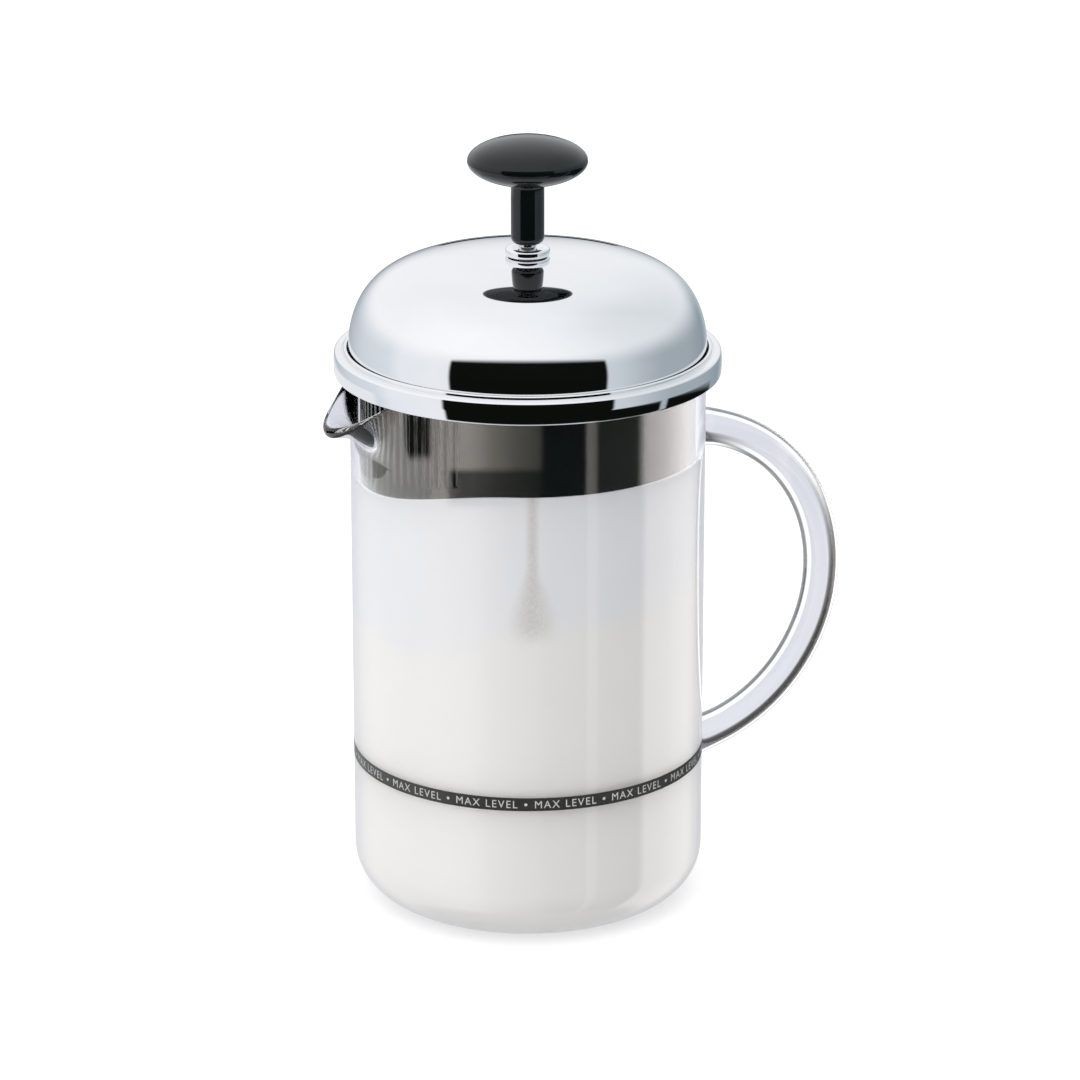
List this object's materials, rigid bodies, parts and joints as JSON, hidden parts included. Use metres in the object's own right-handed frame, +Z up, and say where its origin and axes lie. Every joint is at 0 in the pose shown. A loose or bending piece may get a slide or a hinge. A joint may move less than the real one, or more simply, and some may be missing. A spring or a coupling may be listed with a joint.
{
  "type": "milk frother",
  "caption": "Hand-pumped milk frother: glass beaker with rod handle and spout, domed chrome lid and a knob-topped plunger with mesh screens.",
  "frame": {"origin": "middle of the beaker's underside, on the plunger's axis", "axes": "+Z up along the plunger rod, +X towards the handle, -X towards the pouring spout"},
  "size_m": [0.156, 0.1044, 0.2131],
  "materials": {
    "borosilicate": "clear fire-polished borosilicate glass",
    "chrome_plate": "mirror chrome",
    "black_plastic": "gloss black moulded plastic",
    "stainless": "satin stainless steel",
    "steel_mesh": "fine woven stainless mesh",
    "brass_insert": "turned brass",
    "nylon": "natural nylon"
  },
  "bodies": {
    "beaker": {"beaker": "borosilicate", "glass_handle": "borosilicate"},
    "lid_ring": {"lid_rim": "chrome_plate"},
    "lid": {"lid_dome": "chrome_plate", "strainer_skirt": "black_plastic", "dome_ferrule": "chrome_plate", "guide_bush": "nylon", "bush_washer": "stainless", "bush_nut": "stainless"},
    "plunger": {"knob_cap": "black_plastic", "knob_base": "black_plastic", "knob_insert": "brass_insert", "plunger_rod": "stainless", "rod_collar": "stainless", "spring_plate": "stainless", "upper_screen": "steel_mesh", "screen_spacer": "stainless", "lower_screen": "steel_mesh", "edge_spring": "stainless", "cross_plate": "stainless", "hub_nut": "stainless"}
  },
  "joints": [
    {"name": "lid_lift", "type": "slide", "parent": "beaker", "child": "lid_ring", "axis": [0, 0, 1], "range_m": [0, 0.16]},
    {"name": "lid_turn", "type": "hinge", "parent": "lid_ring", "child": "lid", "pos_m": [0, 0, 0.15], "axis": [0, 0, 1], "continuous": true},
    {"name": "plunger_slide", "type": "slide", "parent": "lid", "child": "plunger", "axis": [0, 0, 1], "range_m": [0, 0.101]}
  ]
}
